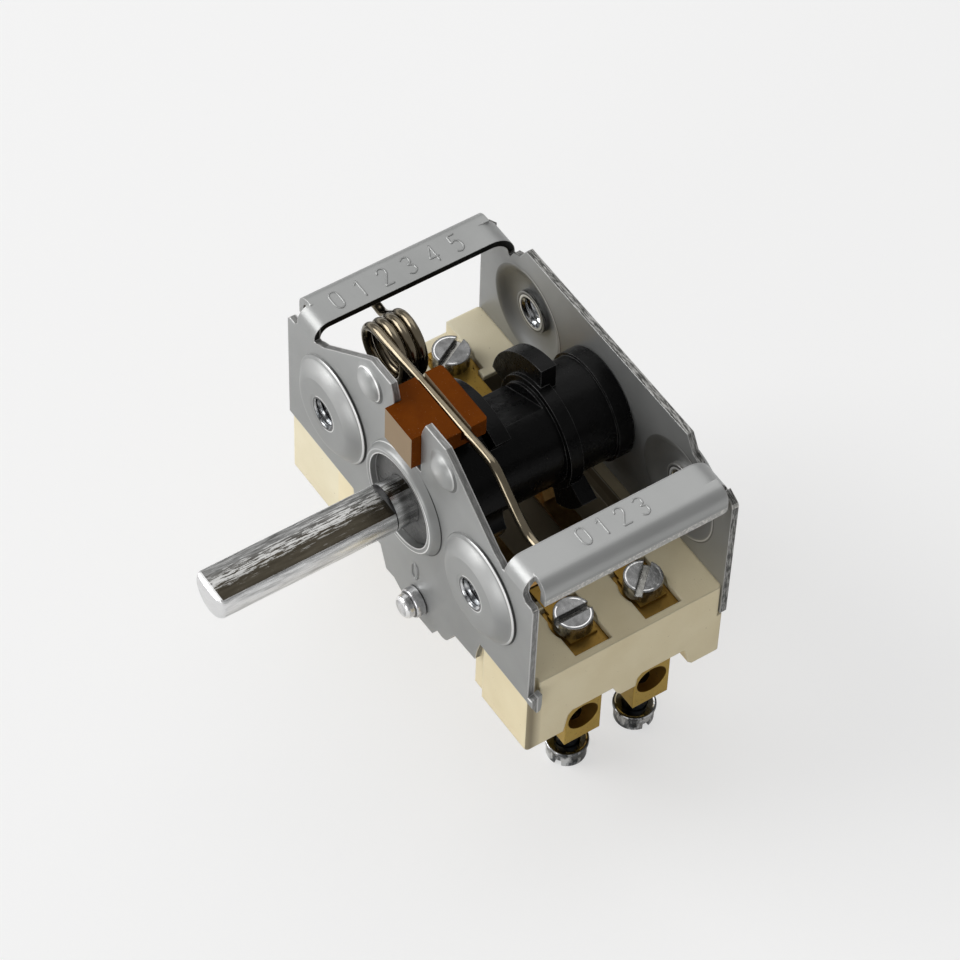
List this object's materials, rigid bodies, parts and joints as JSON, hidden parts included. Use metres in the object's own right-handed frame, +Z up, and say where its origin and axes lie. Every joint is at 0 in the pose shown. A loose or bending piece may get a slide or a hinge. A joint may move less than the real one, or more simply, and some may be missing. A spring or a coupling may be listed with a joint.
{
  "type": "cam switch",
  "caption": "Rotary cam switch: flatted spindle in a folded steel frame turns black cams over sprung contacts in a ceramic base with screw terminals.",
  "frame": {"origin": "on the spindle axis, in the front face of the front plate, midway between the two front screw holes", "axes": "+Z up, from the clamp screws to the follower; the spindle lies along Y and its free end points to -Y; +X to the right seen from the spindle end"},
  "size_m": [0.0517, 0.0561, 0.0495],
  "materials": {
    "zinc_sheet": "zinc plated, satin",
    "zinc_pin": "zinc plated",
    "ceramic": "unglazed cream, fine grain",
    "spindle_steel": "plated, scratched",
    "black_plastic": "moulded, semi-matt",
    "phenolic": "brown laminate",
    "spring_wire": "drawn wire",
    "brass": "milled, dull",
    "brass_strip": "rolled",
    "bronze": "rolled spring bronze",
    "contact_tip": "silver",
    "screw_zinc": "zinc plated, slotted",
    "screw_dark": "dark zinc, slotted"
  },
  "bodies": {
    "base": {"frame": "zinc_sheet", "locating_pin": "zinc_pin", "ceramic_base": "ceramic", "torsion_spring": "spring_wire", "terminal_front_left": "brass", "top_screw_front_left": "screw_zinc", "clamp_screw_front_left": "screw_dark", "terminal_rear_left": "brass", "top_screw_rear_left": "screw_zinc", "clamp_screw_rear_left": "screw_dark", "terminal_front_right": "brass", "top_screw_front_right": "screw_zinc", "clamp_screw_front_right": "screw_dark", "terminal_rear_right": "brass", "top_screw_rear_right": "screw_zinc", "clamp_screw_rear_right": "screw_dark", "fixed_strip_front": "brass_strip", "arm_holder_front": "brass_strip", "fixed_tip_front": "contact_tip", "fixed_strip_rear": "brass_strip", "arm_holder_rear": "brass_strip", "fixed_tip_rear": "contact_tip"},
    "rotor": {"spindle": "spindle_steel", "detent_wheel": "black_plastic", "cam_drum": "black_plastic"},
    "slider": {"follower": "phenolic"},
    "arm_front": {"contact_arm_front": "bronze", "moving_tip_front": "contact_tip"},
    "arm_rear": {"contact_arm_rear": "bronze", "moving_tip_rear": "contact_tip"}
  },
  "joints": [
    {"name": "spindle_turn", "type": "hinge", "parent": "base", "child": "rotor", "pos_m": [0, 0, 0], "axis": [0, -1, 0], "range_deg": [0, 270]},
    {"name": "follower_slide", "type": "slide", "parent": "base", "child": "slider", "axis": [0, 0, 1], "range_m": [-0.0012, 0], "stiffness_N_per_m": 1500, "springref_m": -0.003, "deforming": ["torsion_spring"]},
    {"name": "arm_front_lift", "type": "hinge", "parent": "base", "child": "arm_front", "pos_m": [0.0134, 0.00975, -0.0086], "axis": [0, 1, 0], "range_deg": [0, 3.4], "stiffness_Nm_per_rad": 0.1, "springref_deg": 11.46},
    {"name": "arm_rear_lift", "type": "hinge", "parent": "base", "child": "arm_rear", "pos_m": [0.0134, 0.0195, -0.0086], "axis": [0, 1, 0], "range_deg": [0, 3.4], "stiffness_Nm_per_rad": 0.1, "springref_deg": 11.46}
  ]
}
